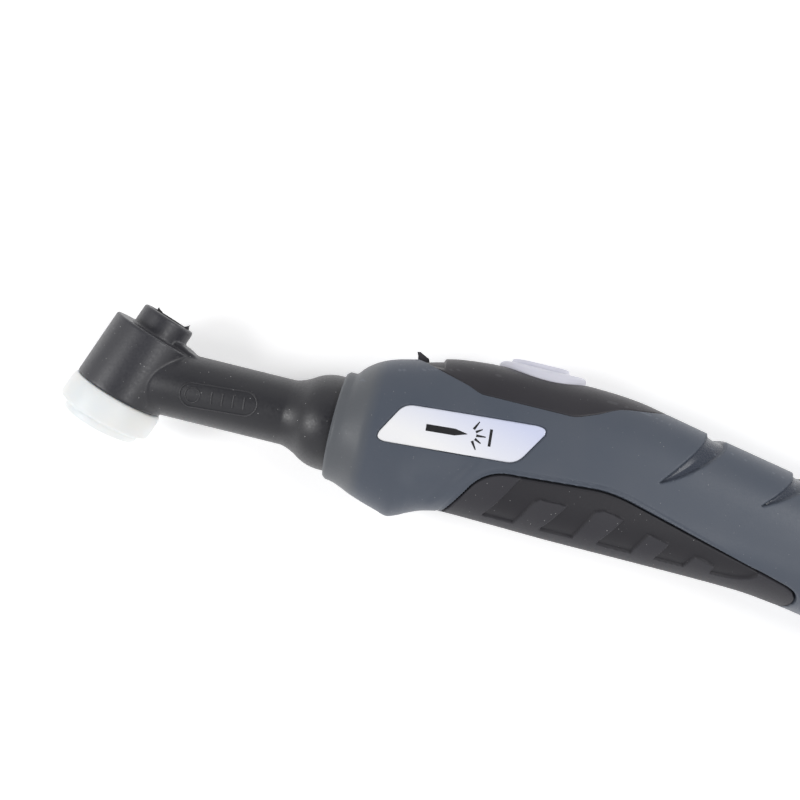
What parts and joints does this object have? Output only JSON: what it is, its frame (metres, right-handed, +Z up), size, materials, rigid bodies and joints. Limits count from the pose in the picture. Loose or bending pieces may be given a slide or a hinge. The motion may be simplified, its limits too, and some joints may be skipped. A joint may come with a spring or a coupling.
{
  "type": "tig torch",
  "caption": "Water-cooled TIG welding torch with a right-angled insulated head, a slim neck and a bent two-shell handle with rubber grips and a sprung trigger button.",
  "frame": {"origin": "centre of the overall bounding box, at the level of the surface the torch lies on", "axes": "+X along the neck from the head to the handle, +Y towards the trigger button, +Z up, square to the torch's mid-plane"},
  "size_m": [0.2436, 0.0516, 0.0295],
  "materials": {
    "handle_plastic": "satin slate grey",
    "cover_plastic": "satin charcoal",
    "grip_rubber": "matt charcoal",
    "head_compound": "matt black moulding",
    "gasket_white": "waxy white",
    "button_plastic": "satin light grey",
    "label_silver": "glossy silver",
    "brass": "machined",
    "copper": "drawn copper",
    "steel": "plated",
    "switch_plastic": "black moulding",
    "plunger_plastic": "red moulding"
  },
  "bodies": {
    "torch": {"head_moulding": "head_compound", "torch_core": "brass", "cup_gasket": "gasket_white", "gas_tube": "copper", "gas_union": "brass", "water_tube": "copper", "water_union": "brass", "power_tube": "copper", "power_union": "brass", "left_shell": "handle_plastic", "left_grip_pad": "grip_rubber", "left_label_plate": "label_silver", "right_shell": "handle_plastic", "right_grip_pad": "grip_rubber", "right_label_plate": "label_silver", "shell_screw_1": "steel", "shell_screw_2": "steel", "shell_screw_3": "steel", "shell_screw_4": "steel", "cable_grommet": "switch_plastic", "switch_cover": "cover_plastic", "button_spring": "steel", "switch_carrier": "switch_plastic", "microswitch_body": "switch_plastic", "switch_terminal_1": "brass", "switch_terminal_2": "brass"},
    "button": {"trigger_button": "button_plastic"},
    "plunger": {"microswitch_plunger": "plunger_plastic"}
  },
  "joints": [
    {"name": "button_press", "type": "slide", "parent": "torch", "child": "button", "axis": [0, -1, 0], "range_m": [0, 0.0012], "stiffness_N_per_m": 1200, "springref_m": -0.0012, "deforming": ["button_spring"]},
    {"name": "plunger_press", "type": "slide", "parent": "torch", "child": "plunger", "axis": [0, -1, 0], "range_m": [0, 0.0012]}
  ],
  "couplings": [
    {"joint": "plunger_press", "follows": "button_press", "ratio": 1}
  ]
}
